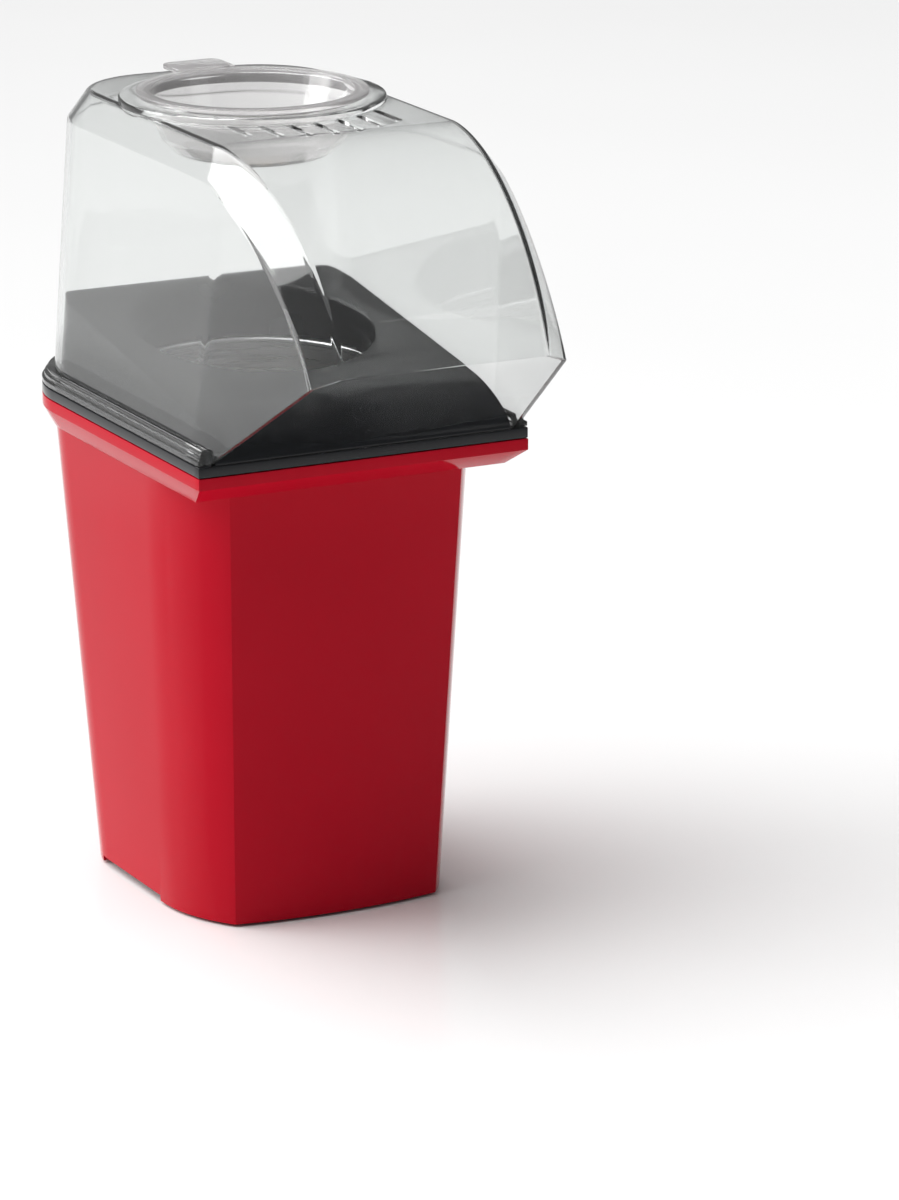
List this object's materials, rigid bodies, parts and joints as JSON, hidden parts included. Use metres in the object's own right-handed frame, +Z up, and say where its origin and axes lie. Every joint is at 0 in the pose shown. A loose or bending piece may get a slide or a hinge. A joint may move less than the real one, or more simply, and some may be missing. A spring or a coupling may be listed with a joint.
{
  "type": "popcorn maker",
  "caption": "Hot-air popcorn maker with a tapered glossy housing, a clear lift-off cover with a front spout, and a measuring cup lying in a ring on top",
  "frame": {"origin": "under the middle of the whole object, on the surface that it stands on", "axes": "+Z up, -Y towards the spout, +X to the right seen from the spout"},
  "size_m": [0.14, 0.253, 0.3176],
  "materials": {
    "red_plastic": "glossy moulded red",
    "black_plastic": "glossy moulded black",
    "clear_plastic": "clear polycarbonate",
    "cup_plastic": "clear polycarbonate, faintly warm",
    "dark_plastic": "fine-grained black moulding",
    "cream_plastic": "cream heat-resistant moulding",
    "aluminium": "spun aluminium",
    "steel": "zinc-plated steel",
    "mica": "flaky mica sheet",
    "nichrome": "oxidised resistance wire",
    "rubber": "soft black rubber",
    "lead_sleeve": "silicone-sleeved wire",
    "circuit_board": "green laminate"
  },
  "bodies": {
    "base": {"housing": "red_plastic", "top_deck": "black_plastic", "popping_chamber": "aluminium", "air_duct": "steel", "mica_plate_a": "mica", "mica_plate_b": "mica", "heater_coil": "nichrome", "thermostat": "dark_plastic", "thermal_fuse": "cream_plastic", "fan_housing": "dark_plastic", "motor_can": "steel", "motor_end_cap": "cream_plastic", "base_plate": "dark_plastic", "rectifier_board": "circuit_board", "terminal_block": "cream_plastic", "cord_gland": "rubber", "switch_bezel": "dark_plastic", "switch_lead": "lead_sleeve", "thermostat_lead": "lead_sleeve", "fuse_lead": "lead_sleeve", "motor_lead_1": "lead_sleeve", "motor_lead_2": "lead_sleeve", "motor_screw_1": "steel", "motor_screw_2": "steel", "duct_screw_1": "steel", "duct_screw_2": "steel", "duct_screw_3": "steel", "deck_screw_1": "steel", "deck_screw_2": "steel", "deck_screw_3": "steel", "deck_screw_4": "steel", "duct_rivet_1": "steel", "duct_rivet_2": "steel", "duct_rivet_3": "steel", "base_screw_1": "steel", "base_screw_2": "steel", "base_screw_3": "steel", "base_screw_4": "steel", "foot_1": "rubber", "foot_2": "rubber", "foot_3": "rubber", "foot_4": "rubber"},
    "cover": {"cover_shell": "clear_plastic"},
    "cup": {"butter_cup": "cup_plastic"},
    "rotor": {"motor_shaft": "steel", "fan_impeller": "dark_plastic"},
    "rocker": {"switch_rocker": "dark_plastic"}
  },
  "joints": [
    {"name": "cover_lift", "type": "slide", "parent": "base", "child": "cover", "axis": [0, 0, 1], "range_m": [0, 0.12]},
    {"name": "cup_lift", "type": "slide", "parent": "cover", "child": "cup", "axis": [0, 0, 1], "range_m": [0, 0.05]},
    {"name": "fan_spin", "type": "hinge", "parent": "base", "child": "rotor", "pos_m": [0, 0.0402, 0.084], "axis": [0, 0, 1], "continuous": true},
    {"name": "rocker_tilt", "type": "hinge", "parent": "base", "child": "rocker", "pos_m": [0, 0.10196, 0.05238], "axis": [1, 0, 0], "range_deg": [0, 16]}
  ]
}
